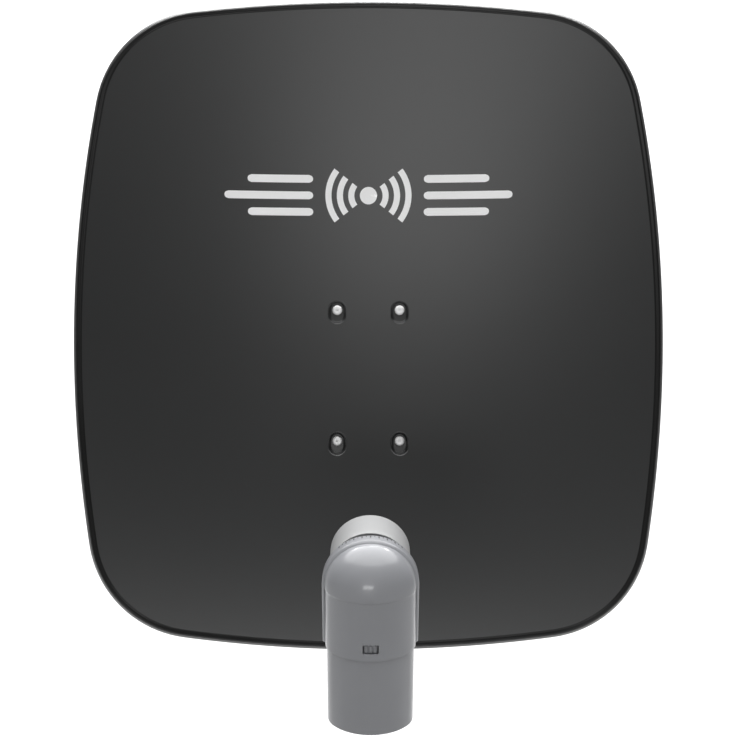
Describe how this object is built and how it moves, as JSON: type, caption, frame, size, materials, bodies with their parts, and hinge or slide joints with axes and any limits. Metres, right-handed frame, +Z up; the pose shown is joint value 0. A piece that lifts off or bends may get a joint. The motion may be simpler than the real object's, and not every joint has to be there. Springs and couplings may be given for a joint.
{
  "type": "satellite dish",
  "caption": "Offset reflector dish with rolled rim, tilting bracket, mast clamp with sliding jaws, feed arm and adjustable feed head with a sliding cable cover.",
  "frame": {"origin": "on the mast axis, half way between the two clamp jaws", "axes": "+Z up along the mast, +X to the right seen from the sky side, -Y towards the sky side (front)"},
  "size_m": [0.606, 0.6936, 0.7436],
  "materials": {
    "dish_coating": "satin",
    "bracket_steel": "satin",
    "cast_clamp": "matte",
    "zinc_steel": "satin",
    "scale_plate": "matte",
    "arm_aluminium": "satin",
    "cast_aluminium": "matte",
    "black_plastic": "matte",
    "cap_plastic": "satin",
    "housing_plastic": "satin",
    "seal_rubber": "matte",
    "board": "matte",
    "probe_brass": "polished",
    "socket_nickel": "satin",
    "white_insulator": "matte"
  },
  "bodies": {
    "mast_mount": {"mast_yoke": "bracket_steel", "saddle_upper": "cast_clamp", "saddle_lower": "cast_clamp", "clamp_bolts": "zinc_steel", "pivot_bolts": "zinc_steel", "pivot_washers": "zinc_steel", "pivot_nuts": "zinc_steel", "elevation_scales": "scale_plate"},
    "upper_jaw": {"jaw_upper": "cast_clamp", "jaw_washers_upper": "zinc_steel", "jaw_nuts_upper": "zinc_steel"},
    "lower_jaw": {"jaw_lower": "cast_clamp", "jaw_washers_lower": "zinc_steel", "jaw_nuts_lower": "zinc_steel"},
    "dish": {"reflector": "dish_coating", "tilt_bracket": "bracket_steel", "reflector_screws": "zinc_steel", "reflector_washers": "zinc_steel", "reflector_nuts": "zinc_steel", "lock_bolts": "zinc_steel", "elevation_pointers": "zinc_steel", "lock_washers": "zinc_steel", "lock_nuts": "zinc_steel", "arm_strut": "bracket_steel", "strut_bolts": "zinc_steel", "strut_washers": "zinc_steel", "strut_nuts": "zinc_steel", "feed_arm": "arm_aluminium", "arm_bolts": "zinc_steel", "arm_nuts": "zinc_steel", "arm_plug": "black_plastic"},
    "feed_holder": {"holder_base": "black_plastic", "holder_cap": "black_plastic", "holder_screws": "zinc_steel", "holder_nuts": "zinc_steel", "focus_screw": "black_plastic", "focus_washer": "zinc_steel"},
    "feed_head": {"horn_cap": "cap_plastic", "feed_horn": "cast_aluminium", "neck_sleeve": "black_plastic", "horn_seal": "seal_rubber", "probe_pins": "probe_brass", "rear_shell": "housing_plastic", "front_shell": "housing_plastic", "casing": "cast_aluminium", "casing_lid": "cast_aluminium", "lid_screws": "zinc_steel", "circuit_board": "board", "f_sockets": "socket_nickel", "socket_cores": "white_insulator", "socket_seals": "seal_rubber", "shell_screws": "zinc_steel"},
    "sliding_cover": {"weather_cover": "housing_plastic", "cover_latch": "housing_plastic"}
  },
  "joints": [
    {"name": "elevation", "type": "hinge", "parent": "mast_mount", "child": "dish", "pos_m": [0, -0.092, 0], "axis": [-1, 0, 0], "range_deg": [-9.2, 35.8]},
    {"name": "upper_clamp", "type": "slide", "parent": "mast_mount", "child": "upper_jaw", "axis": [0, 1, 0], "range_m": [0, 0.012]},
    {"name": "lower_clamp", "type": "slide", "parent": "mast_mount", "child": "lower_jaw", "axis": [0, 1, 0], "range_m": [0, 0.012]},
    {"name": "focus", "type": "slide", "parent": "dish", "child": "feed_holder", "axis": [0, -0.9455, 0.3256], "range_m": [-0.008, 0.01]},
    {"name": "skew", "type": "hinge", "parent": "feed_holder", "child": "feed_head", "pos_m": [0, -0.551, -0.139], "axis": [0, 0.9511, 0.309], "range_deg": [-30, 30]},
    {"name": "cover", "type": "slide", "parent": "feed_head", "child": "sliding_cover", "axis": [0, -0.309, 0.9511], "range_m": [0, 0.03]}
  ]
}
